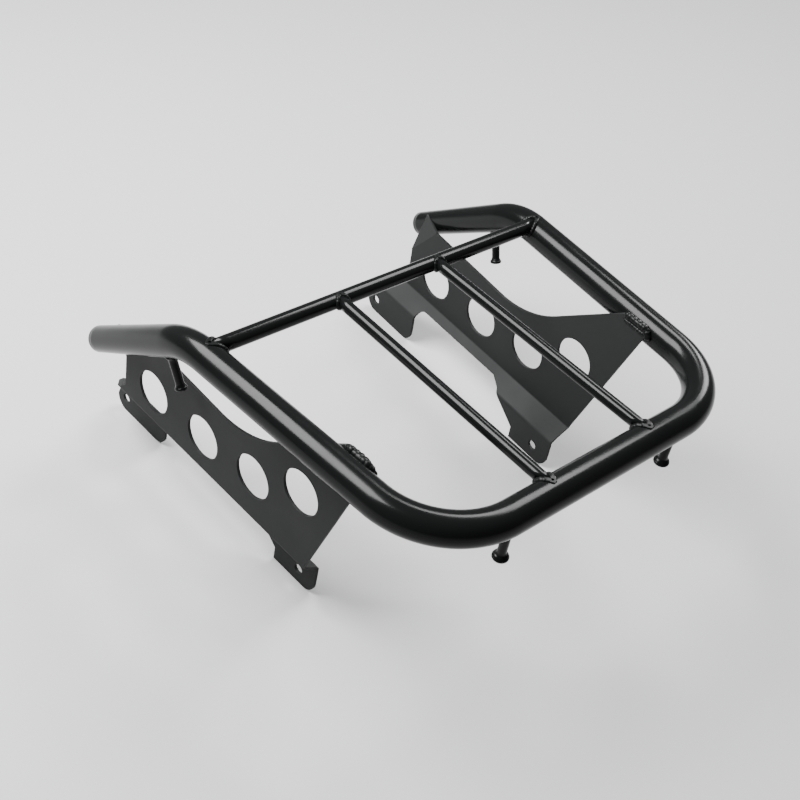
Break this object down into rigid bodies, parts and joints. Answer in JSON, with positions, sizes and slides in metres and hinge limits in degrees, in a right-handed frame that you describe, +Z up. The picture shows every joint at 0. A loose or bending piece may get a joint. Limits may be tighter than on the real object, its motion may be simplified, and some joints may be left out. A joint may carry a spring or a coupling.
{
  "type": "motorcycle luggage rack",
  "caption": "Rear luggage rack: bent tube hoop with a cross tube and centre rods for a deck, carried by folded side plates with large round holes and drilled tabs",
  "frame": {"origin": "on the ground plane that the four tabs stand on, under the middle of the rack", "axes": "X to the closed rear end, Y to the right side of the motorcycle, Z up; Y = 0 is the middle plane"},
  "size_m": [0.4047, 0.3688, 0.1949],
  "materials": {
    "tube": "gloss black powder coat",
    "rod": "gloss black powder coat",
    "cap": "semi-gloss black powder coat",
    "plate": "satin black powder coat",
    "weld": "gloss black powder coat over weld beads"
  },
  "bodies": {
    "root": {"main_hoop": "tube", "arm_cap_left": "cap", "arm_cap_right": "cap", "cross_tube": "rod", "centre_rod_left": "rod", "centre_rod_right": "rod", "side_plate_left": "plate", "side_plate_right": "plate", "hook_front_left": "rod", "hook_front_right": "rod", "hook_rear_left": "rod", "hook_rear_right": "rod", "weld_cross_left": "weld", "weld_cross_right": "weld", "weld_rod_front_left": "weld", "weld_rod_front_right": "weld", "weld_rod_rear_left": "weld", "weld_rod_rear_right": "weld", "weld_plate_rear_left": "weld", "weld_plate_rear_right": "weld", "weld_plate_front_left": "weld", "weld_plate_front_right": "weld"}
  },
  "joints": []
}
